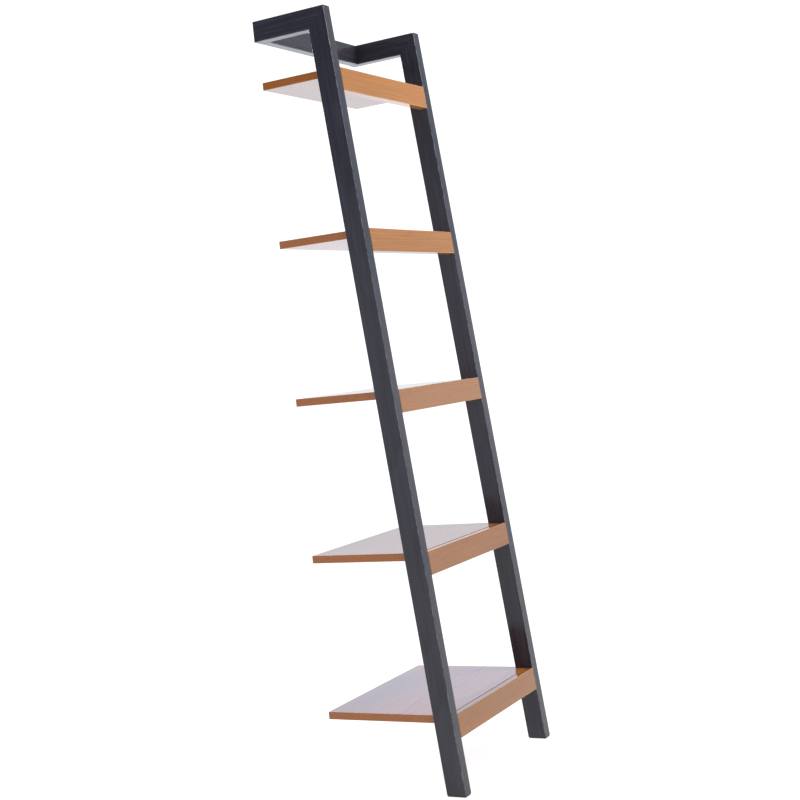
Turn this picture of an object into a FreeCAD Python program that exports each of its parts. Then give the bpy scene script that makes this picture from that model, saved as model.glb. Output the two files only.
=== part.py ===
import FreeCAD, Part
import os

import Sketcher

# Leaning ladder shelf: two raked posts that turn into level arms at the top, a crossbar that joins
# the arms at the wall, and five shelves whose back edges all lie in the wall plane, so that each
# lower shelf is deeper than the one above it. Like a ladder, it is a little wider at the floor than
# at the top: each post and its arm lean in together, as one flat side frame.
#
# Row frame, in millimetres: X runs along the shelves, Y from the front to the wall, Z up.
# The origin is on the floor, in the middle of the footprint of the whole object.

SHELF_COUNT = 5
LEFT = -1
RIGHT = 1
SIDE_NAMES = {LEFT: "left", RIGHT: "right"}

DRIVING_SIZES = {
    "total_height": 1800,
    "floor_width": 485,
    "top_width": 459,
    "total_depth": 350,
    "lean_angle": 5,
    "post_width": 28,
    "post_depth": 48,
    "rail_height": 48,
    "crossbar_thick": 24,
    "foot_pad_thick": 3,
    "foot_pad_inset": 1.5,
    "bottom_shelf_top": 180,
    "shelf_pitch": 370,
    "panel_thick": 18,
    "housing_deep": 13,
    "board_thick": 20,
    "board_height": 54,
    "frame_arris": 1.5,
    "shelf_arris": 1,
    "dowel_dia": 8,
    "dowel_chamfer": 1,
    "glue_relief": 1,
    "long_dowel": 40,
    "short_dowel": 30,
    "mitre_dowel_spacing": 18,
    "edge_dowel_spacing": 150,
    "hanger_spacing": 300,
    "hanger_width": 50,
    "hanger_height": 18,
    "hanger_thick": 1.5,
    "hanger_corner": 3,
    "keyhole_entry_dia": 10,
    "keyhole_slot_width": 5,
    "keyhole_slot_rise": 6,
    "head_pocket_deep": 8,
    "head_pocket_width": 14,
    "screw_spacing": 38,
    "screw_dia": 3.5,
    "screw_head_dia": 6.5,
    "screw_length": 14,
    "screw_point": 3,
}

# Expressions that several pieces share, all in terms of the driving sizes.
SLOPE = "tan(Sizes.lean_angle)"
WALL_Y = "Sizes.total_depth / 2"
ARM_UNDERSIDE = "(Sizes.total_height - Sizes.rail_height)"
BOARD_RUN = "Sizes.board_thick / cos(Sizes.lean_angle)"
CROSSBAR_FRONT = "(Sizes.total_depth / 2 - Sizes.crossbar_thick)"
RAIL_MIDDLE = "(Sizes.total_height - Sizes.rail_height / 2)"
WASTE_MARGIN = 10


def front_y(z):
    """Y of the posts' raked front faces at height z; they start at the front, on the foot pads."""
    return f"({SLOPE} * ({z} - Sizes.foot_pad_thick) - Sizes.total_depth / 2)"


def rear_y(z):
    """Y of the posts' raked rear faces at height z."""
    return f"({front_y(z)} + Sizes.post_depth)"


def board_rear_y(z):
    """Y at height z of the rear faces of the front boards, which lie flush in the posts' front."""
    return f"({front_y(z)} + {BOARD_RUN})"


def outer_x(z):
    """Half the overall width at height z."""
    taper = "(Sizes.floor_width - Sizes.top_width) / 2 / Sizes.total_height"
    return f"(Sizes.floor_width / 2 - {taper} * ({z}))"


def centre_x(z):
    """Distance at height z from the middle of the shelf to the middle of a post's width."""
    return f"({outer_x(z)} - Sizes.post_width / 2)"


def inner_x(z):
    """Half the clear width between the posts at height z."""
    return f"({outer_x(z)} - Sizes.post_width)"


def shelf_top(shelf):
    """Height of a shelf's top surface; shelf 1 is the lowest."""
    return f"(Sizes.bottom_shelf_top + {shelf - 1} * Sizes.shelf_pitch)"


def make_sheet(doc):
    sheet = doc.addObject("Spreadsheet::Sheet", "Sizes")
    for row, (alias, size) in enumerate(DRIVING_SIZES.items(), start=1):
        sheet.set(f"A{row}", alias)
        sheet.set(f"B{row}", str(size))
        sheet.setAlias(f"B{row}", alias)
    doc.recompute()


# ---------------------------------------------------------------- sketches and features


def make_sketch(body, name, plane, offset="0"):
    """A sketch on one of the body's origin planes, moved along that plane's normal by offset."""
    sketch = body.newObject("Sketcher::SketchObject", name)
    support = next(item for item in body.Origin.OriginFeatures if item.Role == plane)
    sketch.AttachmentSupport = [(support, "")]
    sketch.MapMode = "FlatFace"
    sketch.setExpression("AttachmentOffset.Base.z", offset)
    return sketch


def bind(sketch, constraint, expression):
    """Adds a constraint and ties its value to an expression."""
    index = sketch.addConstraint(constraint)
    name = f"size_{index}"
    sketch.renameConstraint(index, name)
    sketch.setExpression(f"Constraints.{name}", expression)


def place_point(sketch, geometry, end, where):
    """Ties one point of a sketch element to a pair of expressions."""
    origin, origin_point = -1, 1
    x_axis, y_axis = -1, -2
    if where[0] == "0":
        sketch.addConstraint(Sketcher.Constraint("PointOnObject", geometry, end, y_axis))
    else:
        value = float(sketch.evalExpression(where[0]))
        rule = Sketcher.Constraint("DistanceX", origin, origin_point, geometry, end, value)
        bind(sketch, rule, where[0])
    if where[1] == "0":
        sketch.addConstraint(Sketcher.Constraint("PointOnObject", geometry, end, x_axis))
    else:
        value = float(sketch.evalExpression(where[1]))
        rule = Sketcher.Constraint("DistanceY", origin, origin_point, geometry, end, value)
        bind(sketch, rule, where[1])


def draw_polygon(sketch, corners):
    """A closed outline through corners, each a pair of expressions."""
    start_point, end_point = 1, 2
    spots = [[float(sketch.evalExpression(text)) for text in corner] for corner in corners]
    points = [FreeCAD.Vector(x, y, 0) for x, y in spots]
    first = sketch.GeometryCount
    count = len(points)
    for index in range(count):
        sketch.addGeometry(Part.LineSegment(points[index], points[(index + 1) % count]), False)
    for index in range(count):
        here = first + index
        following = first + (index + 1) % count
        rule = Sketcher.Constraint("Coincident", here, end_point, following, start_point)
        sketch.addConstraint(rule)
        place_point(sketch, here, start_point, corners[index])


def draw_circle(sketch, centre, diameter):
    centre_point = 3
    spot = [float(sketch.evalExpression(text)) for text in centre]
    radius = float(sketch.evalExpression(diameter)) / 2
    circle = Part.Circle(FreeCAD.Vector(spot[0], spot[1], 0), FreeCAD.Vector(0, 0, 1), radius)
    index = sketch.addGeometry(circle, False)
    bind(sketch, Sketcher.Constraint("Diameter", index, 2 * radius), diameter)
    place_point(sketch, index, centre_point, centre)


def pad(body, sketch, length, symmetric=True):
    feature = body.newObject("PartDesign::Pad", f"{sketch.Name}_pad")
    feature.Profile = sketch
    feature.SideType = "Symmetric" if symmetric else "One side"
    feature.setExpression("Length", length)
    return feature


def pocket(body, sketch, depth, reverse=False, symmetric=False):
    """Cuts the sketch into the body, and stops if nothing was cut away."""
    body.Document.recompute()
    before = body.Shape.Volume
    feature = body.newObject("PartDesign::Pocket", f"{sketch.Name}_pocket")
    feature.Profile = sketch
    feature.SideType = "Symmetric" if symmetric else "One side"
    feature.Reversed = reverse
    feature.setExpression("Length", depth)
    body.Document.recompute()
    if body.Shape.Volume > before - 1:
        raise RuntimeError(f"{feature.Name} cut nothing")
    return feature


def round_edges(body, feature, radius, wanted):
    """Rounds the edges of feature for which wanted(edge) is true."""
    body.Document.recompute()
    edges = enumerate(feature.Shape.Edges, start=1)
    names = [f"Edge{number}" for number, edge in edges if wanted(edge)]
    fillet = body.newObject("PartDesign::Fillet", f"{feature.Name}_arris")
    fillet.Base = (feature, names)
    fillet.setExpression("Radius", radius)


def runs_along(edge, axis):
    """True for a straight edge that runs along a unit vector to within the lean angle."""
    first, last = edge.Vertexes[0].Point, edge.Vertexes[-1].Point
    direction = (last - first).normalize()
    return abs(direction.dot(axis)) > 0.99


# ---------------------------------------------------------------- dowels and their holes


def make_dowel_master(doc, name, length, chamfer):
    """A dowel centred on the origin, along Z. It is copied by links and isn't a piece itself."""
    body = doc.addObject("PartDesign::Body", name)
    sketch = make_sketch(body, f"{name}_section", "XY_Plane")
    draw_circle(sketch, ("0", "0"), "Sizes.dowel_dia")
    feature = pad(body, sketch, length)
    if chamfer:
        doc.recompute()
        ends = body.newObject("PartDesign::Chamfer", f"{name}_ends")
        edges = enumerate(feature.Shape.Edges, start=1)
        ends.Base = (feature, [f"Edge{number}" for number, edge in edges if edge.isClosed()])
        ends.setExpression("Size", chamfer)
    return body


ALONG_X = (FreeCAD.Vector(0, 1, 0), "90 deg")
ALONG_Y = (FreeCAD.Vector(1, 0, 0), "90 deg")
MITRE_RISE = f"(Sizes.post_depth - {SLOPE} * Sizes.rail_height)"
ACROSS_MITRE = (FreeCAD.Vector(1, 0, 0), f"-atan(Sizes.rail_height / {MITRE_RISE})")


def place_copies(doc, name, master, places):
    """A compound of links to master, one for each (x, y, z, turn), where turn is axis and angle."""
    copies = []
    for number, (x, y, z, turn) in enumerate(places, start=1):
        link = doc.addObject("App::Link", f"{name}_{number}")
        link.LinkedObject = master
        axis, angle = turn
        link.Placement = FreeCAD.Placement(FreeCAD.Vector(), FreeCAD.Rotation(axis, 90))
        link.setExpression("Placement.Rotation.Angle", angle)
        link.setExpression("Placement.Base.x", x)
        link.setExpression("Placement.Base.y", y)
        link.setExpression("Placement.Base.z", z)
        copies.append(link)
    group = doc.addObject("Part::Compound", name)
    group.Links = copies
    return group


def mitre_dowel_places():
    """Two dowels across each mitre, in the middle of the post's width."""
    middle_y = f"({front_y('Sizes.total_height')} + {MITRE_RISE} / 2)"
    diagonal = f"sqrt(pow({MITRE_RISE}; 2) + pow(Sizes.rail_height; 2))"
    step_y = f"Sizes.mitre_dowel_spacing / 2 * {MITRE_RISE} / {diagonal}"
    step_z = f"Sizes.mitre_dowel_spacing / 2 * Sizes.rail_height / {diagonal}"
    places = []
    for side in (LEFT, RIGHT):
        for way in (-1, 1):
            y = f"{middle_y} + {way} * {step_y}"
            z = f"{RAIL_MIDDLE} - {way} * {step_z}"
            places.append((f"{side} * {centre_x(z)}", y, z, ACROSS_MITRE))
    return places


def crossbar_dowel_places():
    """Two dowels, one above the other, at each end of the crossbar."""
    middle_y = "(Sizes.total_depth - Sizes.crossbar_thick) / 2"
    places = []
    for side in (LEFT, RIGHT):
        for way in (-1, 1):
            z = f"{RAIL_MIDDLE} + {way} * Sizes.rail_height / 4"
            places.append((f"{side} * {inner_x(z)}", middle_y, z, ALONG_X))
    return places


def board_middle_y(shelf):
    """Y of the middle of a front board's thickness, at its shelf's top surface."""
    return f"({front_y(shelf_top(shelf))} + {BOARD_RUN} / 2)"


def board_end_dowel_places():
    """Two dowels, one above the other, at each end of every front board."""
    places = []
    for shelf in range(1, SHELF_COUNT + 1):
        for side in (LEFT, RIGHT):
            for share in (0.25, 0.75):
                drop = f"{share} * Sizes.board_height"
                y = f"{board_middle_y(shelf)} - {drop} * sin(Sizes.lean_angle)"
                z = f"{shelf_top(shelf)} - {drop} * cos(Sizes.lean_angle)"
                places.append((f"{side} * {inner_x(z)}", y, z, ALONG_X))
    return places


def panel_edge_dowel_places():
    """Three dowels from every panel's front edge into its board, half as deep in the board."""
    places = []
    for shelf in range(1, SHELF_COUNT + 1):
        z = f"({shelf_top(shelf)} - Sizes.panel_thick / 2)"
        y = f"{board_rear_y(z)} + Sizes.short_dowel / 6"
        for step in (-1, 0, 1):
            places.append((f"{step} * Sizes.edge_dowel_spacing", y, z, ALONG_Y))
    return places


def make_dowels(doc):
    """All dowel groups as pieces, and beside each the group of holes that it is glued into."""
    kinds = {
        "mitre_dowels": ("short_dowel", mitre_dowel_places()),
        "crossbar_dowels": ("long_dowel", crossbar_dowel_places()),
        "board_end_dowels": ("long_dowel", board_end_dowel_places()),
        "panel_edge_dowels": ("short_dowel", panel_edge_dowel_places()),
    }
    masters, bores = {}, {}
    for size in ("short_dowel", "long_dowel"):
        length = f"Sizes.{size}"
        masters[size] = make_dowel_master(doc, f"{size}_master", length, "Sizes.dowel_chamfer")
        deep = f"{length} + 2 * Sizes.glue_relief"
        bores[size] = make_dowel_master(doc, f"{size}_bore", deep, None)
    pieces, holes = {}, {}
    for name, (size, places) in kinds.items():
        pieces[name] = place_copies(doc, name, masters[size], places)
        holes[name] = place_copies(doc, f"{name}_holes", bores[size], places)
    return pieces, holes


def cut_away(doc, name, stock, tools):
    """The piece called name: its stock with each of the tools cut out of it in turn."""
    current = stock
    for number, tool in enumerate(tools, start=1):
        cut = doc.addObject("Part::Cut", f"{name}_cut_{number}")
        cut.Base = current
        cut.Tool = tool
        doc.recompute()
        if cut.Shape.Volume > current.Shape.Volume - 1:
            raise RuntimeError(f"{tool.Label} took nothing off {name}")
        current = cut
    return current


# ---------------------------------------------------------------- the frame


def side_strip(side):
    """Front-view outline of a side frame: a strip as wide as the posts, from floor to top."""
    low, high = f"(-{WASTE_MARGIN})", f"(Sizes.total_height + {WASTE_MARGIN})"
    return [
        (f"{side} * {outer_x(low)}", low),
        (f"{side} * {outer_x(high)}", high),
        (f"{side} * {inner_x(high)}", high),
        (f"{side} * {inner_x(low)}", low),
    ]


def side_waste(side, edge_x, outward):
    """Front-view outline of the waste beyond one face of a side frame."""
    low, high = f"(-{WASTE_MARGIN})", f"(Sizes.total_height + {WASTE_MARGIN})"
    away = f"{outward * side} * (Sizes.floor_width - Sizes.top_width)"
    return [
        (f"{side} * {edge_x(low)}", low),
        (f"{side} * {edge_x(high)}", high),
        (f"{side} * {edge_x(high)} + {away}", high),
        (f"{side} * {edge_x(low)} + {away}", low),
    ]


def make_side_stock(doc, name, side, corners, grain):
    """A post or an arm: its side view, cut to the leaning side frame, with its arrises eased."""
    body = doc.addObject("PartDesign::Body", f"{name}_stock")
    middle = f"{side} * {centre_x('Sizes.total_height / 2')}"
    profile = make_sketch(body, f"{name}_side", "YZ_Plane", middle)
    draw_polygon(profile, corners)
    pad(body, profile, "Sizes.post_width + Sizes.floor_width - Sizes.top_width")
    waste = make_sketch(body, f"{name}_waste", "XZ_Plane")
    draw_polygon(waste, side_waste(side, outer_x, 1))
    draw_polygon(waste, side_waste(side, inner_x, -1))
    stock = pocket(body, waste, "2 * Sizes.total_depth", symmetric=True)
    round_edges(body, stock, "Sizes.frame_arris", lambda edge: runs_along(edge, grain))
    return body


def make_post(doc, name, side):
    """A raked post: level at the foot, mitred at the top."""
    foot = "Sizes.foot_pad_thick"
    corners = [
        (front_y(foot), foot),
        (front_y("Sizes.total_height"), "Sizes.total_height"),
        (rear_y(ARM_UNDERSIDE), ARM_UNDERSIDE),
        (rear_y(foot), foot),
    ]
    return make_side_stock(doc, name, side, corners, FreeCAD.Vector(0, 0, 1))


def make_arm(doc, name, side):
    """A level arm from the mitre at the top of a post back to the wall."""
    corners = [
        (front_y("Sizes.total_height"), "Sizes.total_height"),
        (WALL_Y, "Sizes.total_height"),
        (WALL_Y, ARM_UNDERSIDE),
        (rear_y(ARM_UNDERSIDE), ARM_UNDERSIDE),
    ]
    return make_side_stock(doc, name, side, corners, FreeCAD.Vector(0, 1, 0))


def make_side_slabs(doc):
    """Slabs in the planes of the side frames, which trim the ends of what fits between them."""
    slabs = []
    for side in (LEFT, RIGHT):
        body = doc.addObject("PartDesign::Body", f"{SIDE_NAMES[side]}_side_slab")
        outline = make_sketch(body, f"{body.Name}_outline", "XZ_Plane")
        draw_polygon(outline, side_strip(side))
        pad(body, outline, "2 * Sizes.total_depth")
        slabs.append(body)
    return slabs


def make_crossbar(doc, name):
    """The bar between the rear ends of the arms, recessed at the back for the two hangers."""
    body = doc.addObject("PartDesign::Body", f"{name}_stock")
    profile = make_sketch(body, f"{name}_side", "YZ_Plane")
    corners = [
        (CROSSBAR_FRONT, ARM_UNDERSIDE),
        (CROSSBAR_FRONT, "Sizes.total_height"),
        (WALL_Y, "Sizes.total_height"),
        (WALL_Y, ARM_UNDERSIDE),
    ]
    draw_polygon(profile, corners)
    stock = pad(body, profile, "Sizes.top_width")
    sideways = FreeCAD.Vector(1, 0, 0)
    round_edges(body, stock, "Sizes.frame_arris", lambda edge: runs_along(edge, sideways))
    recesses = make_sketch(body, f"{name}_hanger_recess", "XZ_Plane", f"-{WALL_Y}")
    head_room = make_sketch(body, f"{name}_head_room", "XZ_Plane", f"-{WALL_Y}")
    for side in (LEFT, RIGHT):
        middle = f"{side} * Sizes.hanger_spacing / 2"
        plate = ("Sizes.hanger_width / 2", "Sizes.hanger_height / 2")
        room = ("Sizes.head_pocket_width / 2", "Sizes.hanger_height / 2")
        draw_polygon(recesses, rectangle(middle, RAIL_MIDDLE, *plate))
        draw_polygon(head_room, rectangle(middle, RAIL_MIDDLE, *room))
    pocket(body, recesses, "Sizes.hanger_thick", reverse=True)
    pocket(body, head_room, "Sizes.hanger_thick + Sizes.head_pocket_deep", reverse=True)
    return body


def rectangle(middle_x, middle_y, half_wide, half_high):
    return [
        (f"{middle_x} - {half_wide}", f"{middle_y} - {half_high}"),
        (f"{middle_x} + {half_wide}", f"{middle_y} - {half_high}"),
        (f"{middle_x} + {half_wide}", f"{middle_y} + {half_high}"),
        (f"{middle_x} - {half_wide}", f"{middle_y} + {half_high}"),
    ]


def make_foot_pad(doc, name, side):
    """A thin rubber pad under a post, set in a little from its edges."""
    body = doc.addObject("PartDesign::Body", name)
    outline = make_sketch(body, f"{name}_outline", "XY_Plane")
    foot = "Sizes.foot_pad_thick"
    half_wide = "(Sizes.post_width / 2 - Sizes.foot_pad_inset)"
    half_deep = "(Sizes.post_depth / 2 - Sizes.foot_pad_inset)"
    middle_y = f"({front_y(foot)} + Sizes.post_depth / 2)"
    middle_x = f"{side} * {centre_x(foot)}"
    draw_polygon(outline, rectangle(middle_x, middle_y, half_wide, half_deep))
    pad(body, outline, foot, symmetric=False)
    return body


# ---------------------------------------------------------------- the shelves


def make_panel(doc, name, shelf, rounded):
    """A level shelf panel, bevelled in front to fit the raked board, square at the wall.

    Rounding eases all its edges but the front ones, which are glued against the board.
    """
    body = doc.addObject("PartDesign::Body", name)
    profile = make_sketch(body, f"{name}_side", "YZ_Plane")
    top = shelf_top(shelf)
    underside = f"({top} - Sizes.panel_thick)"
    corners = [
        (board_rear_y(underside), underside),
        (board_rear_y(top), top),
        (WALL_Y, top),
        (WALL_Y, underside),
    ]
    draw_polygon(profile, corners)
    stock = pad(body, profile, f"2 * ({inner_x(top)} + Sizes.housing_deep)")
    if rounded:
        doc.recompute()
        nearly_wall = stock.Shape.BoundBox.YMax - 1
        round_edges(body, stock, "Sizes.shelf_arris", lambda edge: edge.BoundBox.YMax > nearly_wall)
    return body


def make_board(doc, name, shelf):
    """A front board, raked like the posts, flush with their front faces and longer than it ends up."""
    body = doc.addObject("PartDesign::Body", f"{name}_stock")
    profile = make_sketch(body, f"{name}_side", "YZ_Plane")
    corners = []
    for drop, forward in ((1, 0.5), (0, 0.5), (0, -0.5), (1, -0.5)):
        down = f"{drop} * Sizes.board_height"
        out = f"{forward} * Sizes.board_thick"
        y = f"{board_middle_y(shelf)} - {down} * sin(Sizes.lean_angle) - {out} * cos(Sizes.lean_angle)"
        z = f"{shelf_top(shelf)} - {down} * cos(Sizes.lean_angle) + {out} * sin(Sizes.lean_angle)"
        corners.append((y, z))
    draw_polygon(profile, corners)
    stock = pad(body, profile, f"2 * {centre_x(shelf_top(shelf))}")
    sideways = FreeCAD.Vector(1, 0, 0)
    round_edges(body, stock, "Sizes.shelf_arris", lambda edge: runs_along(edge, sideways))
    return body


# ---------------------------------------------------------------- the wall hangers


def make_hanger_master(doc):
    """A keyhole plate, its rear face at local Y = 0 and its middle at the local origin."""
    body = doc.addObject("PartDesign::Body", "hanger_master")
    outline = make_sketch(body, "hanger_outline", "XZ_Plane")
    half_wide, half_high = "Sizes.hanger_width / 2", "Sizes.hanger_height / 2"
    draw_polygon(outline, rectangle("0", "0", half_wide, half_high))
    plate = pad(body, outline, "Sizes.hanger_thick", symmetric=False)
    through_plate = FreeCAD.Vector(0, 1, 0)
    round_edges(body, plate, "Sizes.hanger_corner", lambda edge: runs_along(edge, through_plate))
    entry = make_sketch(body, "keyhole_entry", "XZ_Plane")
    draw_circle(entry, ("0", "-Sizes.keyhole_slot_rise / 2"), "Sizes.keyhole_entry_dia")
    pocket(body, entry, "Sizes.hanger_thick", reverse=True)
    slot = make_sketch(body, "keyhole_slot", "XZ_Plane")
    half_slot = "Sizes.keyhole_slot_width / 2"
    middle_z = "Sizes.keyhole_slot_rise / 4"
    half_rise = "3 * Sizes.keyhole_slot_rise / 4"
    draw_polygon(slot, rectangle("0", middle_z, half_slot, half_rise))
    pocket(body, slot, "Sizes.hanger_thick", reverse=True)
    return body


def make_screw_master(doc):
    """A countersunk screw, its flat head at local Z = 0 and its point along -Z."""
    body = doc.addObject("PartDesign::Body", "screw_master")
    profile = make_sketch(body, "screw_profile", "XZ_Plane")
    head, shank = "Sizes.screw_head_dia / 2", "Sizes.screw_dia / 2"
    corners = [
        ("0", "0"),
        (head, "0"),
        (shank, "-Sizes.hanger_thick"),
        (shank, "-(Sizes.screw_length - Sizes.screw_point)"),
        ("0", "-Sizes.screw_length"),
    ]
    draw_polygon(profile, corners)
    turned = body.newObject("PartDesign::Revolution", "screw_turned")
    turned.Profile = profile
    turned.ReferenceAxis = (profile, ["V_Axis"])
    turned.Angle = 360
    return body


def make_hangers(doc):
    """Two keyhole plates let into the crossbar's rear face, and the screws that hold them."""
    unturned = (FreeCAD.Vector(0, 0, 1), "0 deg")
    head_to_wall = (FreeCAD.Vector(1, 0, 0), "-90 deg")
    plates, screws = [], []
    for side in (LEFT, RIGHT):
        middle = f"{side} * Sizes.hanger_spacing / 2"
        plates.append((middle, WALL_Y, RAIL_MIDDLE, unturned))
        for way in (-1, 1):
            x = f"{middle} + {way} * Sizes.screw_spacing / 2"
            screws.append((x, WALL_Y, RAIL_MIDDLE, head_to_wall))
    blank_plates = place_copies(doc, "hanger_blanks", make_hanger_master(doc), plates)
    hanger_screws = place_copies(doc, "hanger_screws", make_screw_master(doc), screws)
    wall_hangers = cut_away(doc, "wall_hangers", blank_plates, [hanger_screws])
    return wall_hangers, hanger_screws


# ---------------------------------------------------------------- the whole object


def make_pieces(doc):
    """Every separate piece of the shelf, by the name of its node."""
    dowels, holes = make_dowels(doc)
    slabs = make_side_slabs(doc)
    wall_hangers, hanger_screws = make_hangers(doc)
    shelves = range(1, SHELF_COUNT + 1)
    housings = [make_panel(doc, f"housing_{shelf}", shelf, rounded=False) for shelf in shelves]
    pieces = {}
    for side, side_name in SIDE_NAMES.items():
        post_cuts = [*housings, holes["mitre_dowels"], holes["board_end_dowels"]]
        arm_cuts = [holes["mitre_dowels"], holes["crossbar_dowels"]]
        post, arm, foot_pad = f"{side_name}_upright", f"{side_name}_top_arm", f"{side_name}_foot_pad"
        pieces[post] = cut_away(doc, post, make_post(doc, post, side), post_cuts)
        pieces[arm] = cut_away(doc, arm, make_arm(doc, arm, side), arm_cuts)
        pieces[foot_pad] = make_foot_pad(doc, foot_pad, side)
    bar = "rear_crossbar"
    bar_cuts = [*slabs, holes["crossbar_dowels"], hanger_screws]
    pieces[bar] = cut_away(doc, bar, make_crossbar(doc, bar), bar_cuts)
    for shelf in shelves:
        panel, board = f"shelf_panel_{shelf}", f"front_board_{shelf}"
        stock = make_panel(doc, f"{panel}_stock", shelf, rounded=True)
        board_cuts = [*slabs, holes["panel_edge_dowels"], holes["board_end_dowels"]]
        pieces[panel] = cut_away(doc, panel, stock, [holes["panel_edge_dowels"]])
        pieces[board] = cut_away(doc, board, make_board(doc, board, shelf), board_cuts)
    pieces.update(dowels)
    pieces["wall_hangers"] = wall_hangers
    pieces["hanger_screws"] = hanger_screws
    return pieces


def check_document(doc):
    """Stops if any object failed, because a failed feature keeps its old shape in silence."""
    for item in doc.Objects:
        if "Invalid" in item.State or "Error" in item.State:
            raise RuntimeError(f"{item.Label} failed: {item.State}")


def write_pieces(pieces):
    """Checks every piece, then writes one file for each."""
    for name, piece in pieces.items():
        if piece.Shape.isNull() or not piece.Shape.isValid():
            raise RuntimeError(f"{name} has no valid shape")
    os.makedirs("parts", exist_ok=True)
    for name, piece in pieces.items():
        piece.Shape.exportStep(f"parts/{name}.step")
        solids, litres = len(piece.Shape.Solids), piece.Shape.Volume / 1e6
        print(f"{name}: {solids} solid(s), {litres:.4f} litres")


def main():
    doc = FreeCAD.newDocument("ladder_shelf")
    make_sheet(doc)
    pieces = make_pieces(doc)
    for name, piece in pieces.items():
        piece.Label = name
    doc.recompute()
    check_document(doc)
    write_pieces(pieces)


main()
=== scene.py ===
import math

import bpy
from mathutils import Matrix, Vector

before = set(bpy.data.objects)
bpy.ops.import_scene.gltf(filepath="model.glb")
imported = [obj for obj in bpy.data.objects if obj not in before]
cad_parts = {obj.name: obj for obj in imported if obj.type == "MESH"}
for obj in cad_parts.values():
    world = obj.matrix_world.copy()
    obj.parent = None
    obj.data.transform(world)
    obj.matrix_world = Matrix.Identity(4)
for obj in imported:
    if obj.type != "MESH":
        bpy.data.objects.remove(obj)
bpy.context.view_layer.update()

# The looks of the leaning ladder shelf: posts stained blue-black, orange-brown lacquered shelves, a
# bright studio with a white floor. All places are in metres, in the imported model's own frame.


# ---------------------------------------------------------------- camera

CAMERA_PLACE = Vector((-3.0023, -1.6451, 1.0009))
CAMERA_HEADING = math.radians(29.007)
CAMERA_TILT = math.radians(-1.874)
CAMERA_ROLL = math.radians(-6.094)
LENS_MM = 63.74
SENSOR_MM = 36


def make_camera():
    """A camera to the front left of the shelf, at about half its height, rolled a little."""
    ahead = Vector((
        math.cos(CAMERA_TILT) * math.cos(CAMERA_HEADING),
        math.cos(CAMERA_TILT) * math.sin(CAMERA_HEADING),
        math.sin(CAMERA_TILT),
    ))
    level_right = ahead.cross(Vector((0, 0, 1))).normalized()
    right = Matrix.Rotation(-CAMERA_ROLL, 3, ahead) @ level_right
    up = right.cross(ahead)
    data = bpy.data.cameras.new("camera")
    data.lens = LENS_MM
    data.sensor_width = SENSOR_MM
    camera = bpy.data.objects.new("camera", data)
    turn = Matrix((right, up, -ahead)).transposed()
    camera.matrix_world = Matrix.Translation(CAMERA_PLACE) @ turn.to_4x4()
    bpy.context.collection.objects.link(camera)
    bpy.context.scene.camera = camera


# ---------------------------------------------------------------- node helpers

# Noise seldom leaves this middle part of its range, so it is this part that gets stretched.
NOISE_LOW, NOISE_HIGH = 0.3, 0.7


def new_material(name):
    """A new material, and its node tree with nothing in it."""
    material = bpy.data.materials.new(name)
    material.use_nodes = True
    material.node_tree.nodes.clear()
    return material, material.node_tree


def add(tree, kind, settings=None, **inputs):
    """Adds a node and fills its inputs, each with a socket to link or a plain value.

    An underscore is a space in an input's name, and _0, _1, ... are inputs by number.
    """
    node = tree.nodes.new(kind)
    for key, value in (settings or {}).items():
        setattr(node, key, value)
    for key, value in inputs.items():
        number = key[1:]
        socket = node.inputs[int(number) if number.isdigit() else key.replace("_", " ")]
        if isinstance(value, bpy.types.NodeSocket):
            tree.links.new(value, socket)
        else:
            socket.default_value = value
    return node


def maths(tree, operation, first, second=0.0):
    node = add(tree, "ShaderNodeMath", {"operation": operation}, _0=first, _1=second)
    return node.outputs[0]


def vector_maths(tree, operation, first, second=(0, 0, 0)):
    node = add(tree, "ShaderNodeVectorMath", {"operation": operation}, _0=first, _1=second)
    return node.outputs["Value" if operation == "DOT_PRODUCT" else "Vector"]


def split(tree, vector):
    return add(tree, "ShaderNodeSeparateXYZ", Vector=vector).outputs


def noise(tree, place, scales, detail=2.0, roughness=0.5):
    """Noise with its own scale along each axis, per metre."""
    scaled = vector_maths(tree, "MULTIPLY", place, scales)
    node = add(
        tree, "ShaderNodeTexNoise",
        Vector=scaled, Scale=1.0, Detail=detail, Roughness=roughness,
    )
    return node.outputs["Fac"]


def ramp(tree, factor, stops):
    """Colours for a factor, from stops of a position and a colour."""
    node = add(tree, "ShaderNodeValToRGB", Fac=factor)
    elements = node.color_ramp.elements
    while len(elements) < len(stops):
        elements.new(0.5)
    for element, (position, colour) in zip(elements, stops):
        element.position = position
        element.color = (*colour, 1)
    return node.outputs["Color"]


def mix_colour(tree, blend, factor, first, second):
    settings = {"data_type": "RGBA", "blend_type": blend}
    return add(tree, "ShaderNodeMix", settings, _0=factor, _6=first, _7=second).outputs[2]


def span(tree, value, start, end, low=0.0, high=1.0):
    """low where value is at start and high where it is at end, straight between, level beyond."""
    node = add(
        tree, "ShaderNodeMapRange",
        Value=value, From_Min=start, From_Max=end, To_Min=low, To_Max=high,
    )
    return node.outputs["Result"]


def stretch(tree, fac, low, high):
    """Stretches a noise over low to high."""
    return span(tree, fac, NOISE_LOW, NOISE_HIGH, low, high)


def bump(tree, height, distance, strength):
    node = add(tree, "ShaderNodeBump", Height=height, Distance=distance, Strength=strength)
    return node.outputs["Normal"]


def finish_surface(tree, **inputs):
    """The material's one shader, with these inputs, and its output."""
    surface = add(tree, "ShaderNodeBsdfPrincipled", **inputs)
    add(tree, "ShaderNodeOutputMaterial", Surface=surface.outputs[0])


# ---------------------------------------------------------------- wood

# Turns that bring a piece's grain onto the X axis of its wood's own space.
GRAIN_TURNS = {
    "along_x": (0, 0, 0),
    "along_y": (0, 0, math.radians(-90)),
    "along_post": (math.radians(5), math.radians(90), 0),
}

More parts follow.
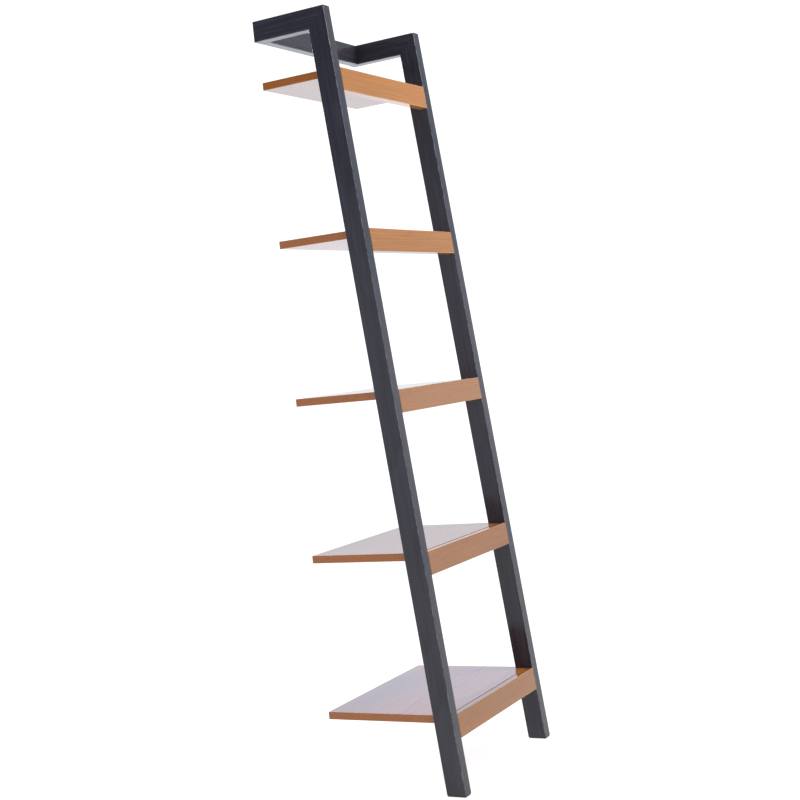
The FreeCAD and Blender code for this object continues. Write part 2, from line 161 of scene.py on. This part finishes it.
# Each pattern in the wood: its scales up the trunk and across it, its detail and its roughness.
GRAIN_PATTERNS = {
    "cloud": (2, 9, 2.0, 0.5),
    "figure": (9, 75, 2.0, 0.6),
    "streaks": (6, 160, 3.0, 0.6),
    "fibres": (30, 1100, 2.0, 0.6),
    "chips_and_glints": (60, 150, 2.0, 0.6),
    "pores": (45, 520, 1.0, 0.5),
}

# How far each seed takes a piece up its trunk, in metres, and the places across and deep in the
# trunk that the seeds take in turn: the first place, the step and the number of places.
SEED_RISE = 1.7
SEED_ACROSS = (0.13, 0.037, 5)
SEED_DEEP = (0.21, 0.053, 3)
DOWEL_SEED = 3

# How much the trunk's rings wander from round, in metres, and how fast, up the trunk and across.
RING_WANDER = 0.055
RING_WANDER_SCALES = (1.2, 5, 5)

# Stops of the stain's colour across one growth ring, from early wood to late wood.
SHELF_STAIN = [
    (0.0, (0.345, 0.1360, 0.0325)),
    (0.60, (0.336, 0.1310, 0.0308)),
    (0.92, (0.298, 0.1110, 0.0250)),
    (1.0, (0.343, 0.1350, 0.0322)),
]
FRAME_STAIN = [
    (0.0, (0.0200, 0.0195, 0.0290)),
    (0.65, (0.0178, 0.0172, 0.0262)),
    (0.92, (0.0140, 0.0136, 0.0208)),
    (1.0, (0.0195, 0.0190, 0.0284)),
]

# The width of a growth ring, in metres.
SHELF_RING, FRAME_RING, DOWEL_RING = 0.0065, 0.006, 0.004

# How squarely a face looks along X from where it starts to count as end grain to where it does, and
# how squarely it looks along any axis from where it starts to count as an eased edge.
END_FACING = (0.80, 0.95)
ARRIS_FACING = (0.985, 0.90)

# The stain goes darker and duller on end grain, and thin on the eased edges; the lighter colours of
# the eased edges are also a painted highlight, on the frame and on the front boards.
END_GRAIN_TINT = (0.79, 0.665, 0.59, 1)
SHELF_WORN_AND_HIGHLIGHT = (0.62, 0.42, 0.27, 1)
FRAME_WORN_AND_HIGHLIGHT = (0.22, 0.24, 0.29, 1)

# What the stain is multiplied by on the panels, and on each front board from the lowest up.
# The boards' tones are painted shade by height: the lower three darker, the upper two lighter.
PANEL_TONE = (1.08, 1.08, 1.08)
BOARD_SHADE_TONES = [
    (0.85, 0.88, 0.95),
    (0.85, 0.89, 0.92),
    (0.84, 0.88, 0.87),
    (0.95, 1.04, 1.12),
    (0.95, 1.05, 1.09),
]

# How much of the stain the eased edges lose: at 1 the places that lose most are bare, and above 1
# most places are. On the panels this is rubbed-through stain; on the front boards it is mostly a
# painted highlight, a cream line along the edges.
PANEL_WEAR, BOARD_WEAR_AND_HIGHLIGHT = 0.3, 1.6


def wood_space(tree, grain, seed):
    """Coordinates in the trunk that a piece was sawn from: X up the trunk, heart at Y = Z = 0."""
    place = add(tree, "ShaderNodeTexCoord").outputs["Object"]
    turned = add(tree, "ShaderNodeMapping", Vector=place, Rotation=GRAIN_TURNS[grain])
    sideways = [first + step * (seed % count) for first, step, count in (SEED_ACROSS, SEED_DEEP)]
    return vector_maths(tree, "ADD", turned.outputs[0], (SEED_RISE * seed, *sideways))


def growth_rings(tree, trunk, ring):
    """0 to 1 across each growth ring, ring metres wide, rising slowly and falling at once."""
    wander = maths(tree, "MULTIPLY", noise(tree, trunk, RING_WANDER_SCALES), RING_WANDER)
    _, across, deep = split(tree, trunk)
    squares = [maths(tree, "POWER", side, 2.0) for side in (across, deep)]
    radius = maths(tree, "SQRT", maths(tree, "ADD", *squares))
    turns = maths(tree, "DIVIDE", maths(tree, "ADD", radius, wander), ring)
    return maths(tree, "FRACT", turns)


def wood_pattern(tree, grain, seed, ring):
    """The fields that every wood here is coloured and bumped by."""
    trunk = wood_space(tree, grain, seed)
    fields = {"rings": growth_rings(tree, trunk, ring)}
    for name, (along, across, detail, roughness) in GRAIN_PATTERNS.items():
        fields[name] = noise(tree, trunk, (along, across, across), detail, roughness)
    return fields


def face_fields(tree):
    """Which way a face looks: 1 on the ends of a piece along X, and 1 on an eased edge."""
    normal = add(tree, "ShaderNodeTexCoord").outputs["Normal"]
    x, y, z = split(tree, vector_maths(tree, "ABSOLUTE", normal))
    widest = maths(tree, "MAXIMUM", x, maths(tree, "MAXIMUM", y, z))
    return {
        "end": span(tree, x, *END_FACING),
        "arris": span(tree, widest, *ARRIS_FACING),
    }


def shelf_wood(name, seed, tone, edge_wear_and_highlight):
    """Orange-brown stained wood, close-grained, under a gloss lacquer.

    tone lightens or darkens the stain, and on the front boards is also painted shade by height.
    The last argument is how much of the stain the eased edges lose: rubbed through on the panels,
    and mostly a painted highlight on the front boards.
    """
    material, tree = new_material(name)
    field = wood_pattern(tree, "along_x", seed, SHELF_RING)
    face = face_fields(tree)
    stain = [(place, [a * b for a, b in zip(tone, colour)]) for place, colour in SHELF_STAIN]
    colour = ramp(tree, field["rings"], stain)
    streaks = [(0.36, (0.94, 0.93, 0.92)), (0.64, (1.05, 1.055, 1.06))]
    clouds = [(0.3, (0.95, 0.93, 0.90)), (0.7, (1.04, 1.05, 1.06))]
    pores = [(0.28, (0.72, 0.66, 0.60)), (0.38, (1.0, 1.0, 1.0))]
    colour = mix_colour(tree, "MULTIPLY", 1.0, colour, ramp(tree, field["streaks"], streaks))
    colour = mix_colour(tree, "MULTIPLY", 1.0, colour, ramp(tree, field["cloud"], clouds))
    colour = mix_colour(tree, "MULTIPLY", 0.6, colour, ramp(tree, field["pores"], pores))
    colour = mix_colour(tree, "MULTIPLY", face["end"], colour, END_GRAIN_TINT)
    # The lighter eased edges: rubbed-through stain, and on the front boards mostly a painted
    # highlight.
    wear_and_highlight_mask = maths(tree, "MULTIPLY", face["arris"], stretch(tree, field["streaks"], 0.0, edge_wear_and_highlight))
    finish_surface(
        tree,
        Base_Color=mix_colour(tree, "MIX", wear_and_highlight_mask, colour, SHELF_WORN_AND_HIGHLIGHT),
        Roughness=stretch(tree, field["streaks"], 0.36, 0.48),
        Normal=bump(tree, field["fibres"], 0.00010, 0.4),
        IOR=1.45,
        Specular_IOR_Level=0.0,
        Coat_Weight=1.0,
        Coat_IOR=1.5,
        Coat_Roughness=0.06,
        Coat_Normal=bump(tree, field["streaks"], 0.00003, 0.25),
    )
    return material


def frame_wood(name, grain, seed):
    """Open-grained wood, stained blue-black, under a thin semi-gloss lacquer."""
    material, tree = new_material(name)
    field = wood_pattern(tree, grain, seed, FRAME_RING)
    face = face_fields(tree)
    colour = ramp(tree, field["rings"], FRAME_STAIN)
    streaks = [(0.35, (0.80, 0.80, 0.82)), (0.65, (1.26, 1.26, 1.24))]
    figures = [(0.35, (0.88, 0.88, 0.89)), (0.65, (1.14, 1.14, 1.13))]
    colour = mix_colour(tree, "MULTIPLY", 1.0, colour, ramp(tree, field["streaks"], streaks))
    colour = mix_colour(tree, "MULTIPLY", 1.0, colour, ramp(tree, field["figure"], figures))
    # The lighter, broken eased edges are partly chipped stain and partly a painted highlight along
    # the arrises.
    wear_and_highlight_mask = maths(tree, "MULTIPLY", face["arris"], stretch(tree, field["chips_and_glints"], -0.1, 0.8))
    grooves = maths(tree, "MULTIPLY", field["streaks"], 0.9)
    open_grain = maths(tree, "ADD", grooves, field["fibres"])
    waves = maths(tree, "MULTIPLY", field["figure"], 3.2)
    wavy_coat = maths(tree, "ADD", waves, field["streaks"])
    finish_surface(
        tree,
        Base_Color=mix_colour(tree, "MIX", wear_and_highlight_mask, colour, FRAME_WORN_AND_HIGHLIGHT),
        Roughness=stretch(tree, field["streaks"], 0.34, 0.48),
        Normal=bump(tree, open_grain, 0.0003, 0.7),
        IOR=1.5,
        Specular_IOR_Level=0.12,
        Coat_Weight=0.6,
        Coat_IOR=1.5,
        Coat_Roughness=0.11,
        Coat_Normal=bump(tree, wavy_coat, 0.0004, 0.6),
    )
    return material


def dowel_wood(name):
    """Raw beech, which only shows if the joints are taken apart."""
    material, tree = new_material(name)
    field = wood_pattern(tree, "along_x", DOWEL_SEED, DOWEL_RING)
    streaks = [(0.35, (0.50, 0.34, 0.20)), (0.65, (0.66, 0.48, 0.30))]
    finish_surface(
        tree,
        Base_Color=ramp(tree, field["streaks"], streaks),
        Roughness=0.7,
        Normal=bump(tree, field["fibres"], 0.0002, 0.6),
    )
    return material


# ---------------------------------------------------------------- rubber and steel


def rubber(name):
    """Black rubber, finely speckled."""
    material, tree = new_material(name)
    place = add(tree, "ShaderNodeTexCoord").outputs["Object"]
    speckle = noise(tree, place, (900, 900, 900), 3.0)
    blacks = [(NOISE_LOW, (0.012, 0.012, 0.013)), (NOISE_HIGH, (0.028, 0.028, 0.030))]
    finish_surface(
        tree,
        Base_Color=ramp(tree, speckle, blacks),
        Roughness=stretch(tree, speckle, 0.62, 0.80),
        Normal=bump(tree, speckle, 0.0002, 0.5),
    )
    return material


def zinc_steel(name):
    """Bright zinc plate over rolled steel."""
    material, tree = new_material(name)
    place = add(tree, "ShaderNodeTexCoord").outputs["Object"]
    rolled = noise(tree, place, (60, 900, 900), 3.0)
    bloom = noise(tree, place, (160, 160, 160), 2.0)
    greys = [(NOISE_LOW, (0.42, 0.43, 0.46)), (NOISE_HIGH, (0.58, 0.59, 0.60))]
    finish_surface(
        tree,
        Base_Color=ramp(tree, bloom, greys),
        Metallic=1.0,
        Roughness=stretch(tree, rolled, 0.24, 0.42),
        Normal=bump(tree, rolled, 0.00005, 0.4),
    )
    return material


# ---------------------------------------------------------------- dressing the pieces

FRAME_GRAINS = {
    "left_upright": "along_post",
    "right_upright": "along_post",
    "left_top_arm": "along_y",
    "right_top_arm": "along_y",
    "rear_crossbar": "along_x",
}
FOOT_PADS = ("left_foot_pad", "right_foot_pad")
DOWELS = ("mitre_dowels", "crossbar_dowels", "board_end_dowels", "panel_edge_dowels")
HANGER_PARTS = ("wall_hangers", "hanger_screws")

# The seeds of the lowest shelf's wood; each shelf above has the next ones.
FIRST_PANEL_SEED, FIRST_BOARD_SEED = 11, 21


def dress(material, *nodes):
    """Puts one material on every slot of some CAD nodes."""
    for node in nodes:
        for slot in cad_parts[node].material_slots:
            slot.material = material


def dress_all():
    for seed, (node, grain) in enumerate(FRAME_GRAINS.items(), start=1):
        dress(frame_wood(f"{node}_wood", grain, seed), node)
    # Each board's tone is painted shade and light for its height.
    for index, board_shade_tone in enumerate(BOARD_SHADE_TONES):
        panel, board = f"shelf_panel_{index + 1}", f"front_board_{index + 1}"
        panel_seed, board_seed = FIRST_PANEL_SEED + index, FIRST_BOARD_SEED + index
        dress(shelf_wood(f"{panel}_wood", panel_seed, PANEL_TONE, PANEL_WEAR), panel)
        # The front boards' eased edges get a painted highlight as well as rubbed-through stain.
        dress(shelf_wood(f"{board}_wood", board_seed, board_shade_tone, BOARD_WEAR_AND_HIGHLIGHT), board)
    dress(rubber("foot_rubber"), *FOOT_PADS)
    dress(dowel_wood("beech"), *DOWELS)
    dress(zinc_steel("zinc_steel"), *HANGER_PARTS)


# ---------------------------------------------------------------- studio

FLOOR_RADIUS = 5.0
FLOOR_CORNERS = 96

# Directions in the surround.
AWAY_FROM_CAMERA = (0.875, 0.485, 0.0)
TO_LEFT_BACK = (-0.875, 0.485, 0.0)
TO_RIGHT_FRONT = (0.93, -0.30, 0.21)

# Colours of the surround by height: 0 is straight down, 0.5 is level and 1 is straight up.
WALLS = [
    (0.0, (0.95, 0.97, 1.10)),
    (0.44, (1.00, 1.02, 1.12)),
    (0.50, (1.12, 1.14, 1.26)),
    (0.535, (1.25, 1.27, 1.42)),
    (0.57, (1.04, 1.07, 1.20)),
    (0.61, (0.64, 0.68, 0.77)),
    (0.67, (0.38, 0.39, 0.46)),
    (0.78, (0.80, 0.80, 0.84)),
    (1.0, (1.20, 1.18, 1.18)),
]
BACKDROP = [
    (0.30, (1.3, 1.35, 1.5)),
    (0.39, (2.14, 2.15, 2.28)),
    (0.403, (1.14, 1.46, 1.68)),
    (0.455, (0.98, 1.02, 1.14)),
    (0.50, (0.9, 0.95, 1.0)),
    (0.565, (0.68, 0.93, 1.12)),
    (0.617, (0.80, 1.42, 2.02)),
    (0.72, (0.8, 0.8, 0.84)),
]
WALL_PATCHES = [(NOISE_LOW, (0.8, 0.8, 0.8)), (NOISE_HIGH, (1.2, 1.2, 1.2))]
RIGHT_SPOT_TINT = (0.36, 0.34, 0.33, 1)
UPPER_LEFT_SHADE = (0.035, 0.05, 0.12, 1)

WARM = (1.0, 0.92, 0.80)

# Each softbox: its place, what it aims at, its width, its watts and its spread in degrees.
SOFTBOXES = {
    "front_softbox": ((0.8, -1.7, 2.85), (0, 0, 1.75), 0.9, 14.5, 95),
    "overhead_softbox": ((-0.1, -1.4, 3.1), (0, 0, 0.6), 1.2, 10, 180),
    "left_softbox": ((-3.2, -0.9, 1.9), (0, 0, 1.1), 1.4, 15, 180),
    "back_softbox": ((1.0, 2.3, 2.4), (0, -0.1, 0.5), 1.1, 62, 180),
}


def make_floor():
    """A plain floor that glows a little, so that it comes out white up to the object's feet."""
    bpy.ops.mesh.primitive_circle_add(
        vertices=FLOOR_CORNERS, radius=FLOOR_RADIUS, fill_type="NGON",
    )
    floor = bpy.context.object
    floor.name = "studio_floor"
    material, tree = new_material("studio_white")
    finish_surface(
        tree,
        Base_Color=(0.25, 0.25, 0.25, 1),
        Roughness=0.9,
        Specular_IOR_Level=0.0,
        Emission_Color=(0.98, 0.99, 1, 1),
        Emission_Strength=0.90,
    )
    floor.data.materials.append(material)


def towards(tree, direction, aim, power):
    """1 straight towards aim, 0 at a right angle to it or behind; a high power makes it narrow."""
    facing = maths(tree, "MAXIMUM", vector_maths(tree, "DOT_PRODUCT", direction, aim), 0.0)
    return maths(tree, "POWER", facing, power)


def surround_light(tree):
    """A pale surround: bluish behind the shelf, dim at the upper left and in a right-hand spot."""
    direction = add(tree, "ShaderNodeTexCoord").outputs["Generated"]
    height = split(tree, direction)[2]
    level = span(tree, height, -1.0, 1.0)
    behind = towards(tree, direction, AWAY_FROM_CAMERA, 3.5)
    left = towards(tree, direction, TO_LEFT_BACK, 4.0)
    right = towards(tree, direction, TO_RIGHT_FRONT, 90.0)
    upper_left = maths(tree, "MULTIPLY", left, span(tree, height, 0.04, 0.22))
    patches = ramp(tree, noise(tree, direction, (7, 7, 7)), WALL_PATCHES)
    walls = mix_colour(tree, "MULTIPLY", 1.0, ramp(tree, level, WALLS), patches)
    walls = mix_colour(tree, "MULTIPLY", right, walls, RIGHT_SPOT_TINT)
    light = mix_colour(tree, "MIX", behind, walls, ramp(tree, level, BACKDROP))
    return mix_colour(tree, "MIX", upper_left, light, UPPER_LEFT_SHADE)


def make_world():
    """White behind the object; a soft, slightly cool surround for its light and reflections."""
    world = bpy.data.worlds.new("studio")
    bpy.context.scene.world = world
    world.use_nodes = True
    tree = world.node_tree
    tree.nodes.clear()
    seen = add(tree, "ShaderNodeBackground", Color=(1, 1, 1, 1), Strength=1.2)
    lighting = add(tree, "ShaderNodeBackground", Color=surround_light(tree), Strength=1.0)
    ray = add(tree, "ShaderNodeLightPath").outputs["Is Camera Ray"]
    both = add(tree, "ShaderNodeMixShader", _0=ray, _1=lighting.outputs[0], _2=seen.outputs[0])
    add(tree, "ShaderNodeOutputWorld", Surface=both.outputs[0])


def make_lights():
    for name, (place, aim, width, watts, spread_degrees) in SOFTBOXES.items():
        data = bpy.data.lights.new(name, "AREA")
        data.shape = "SQUARE"
        data.size = width
        data.energy = watts
        data.color = WARM
        data.spread = math.radians(spread_degrees)
        light = bpy.data.objects.new(name, data)
        light.location = place
        light.rotation_mode = "QUATERNION"
        light.rotation_quaternion = (Vector(aim) - Vector(place)).to_track_quat("-Z", "Y")
        bpy.context.collection.objects.link(light)


make_camera()
dress_all()
make_floor()
make_world()
make_lights()
bpy.context.scene.view_settings.view_transform = "Standard"
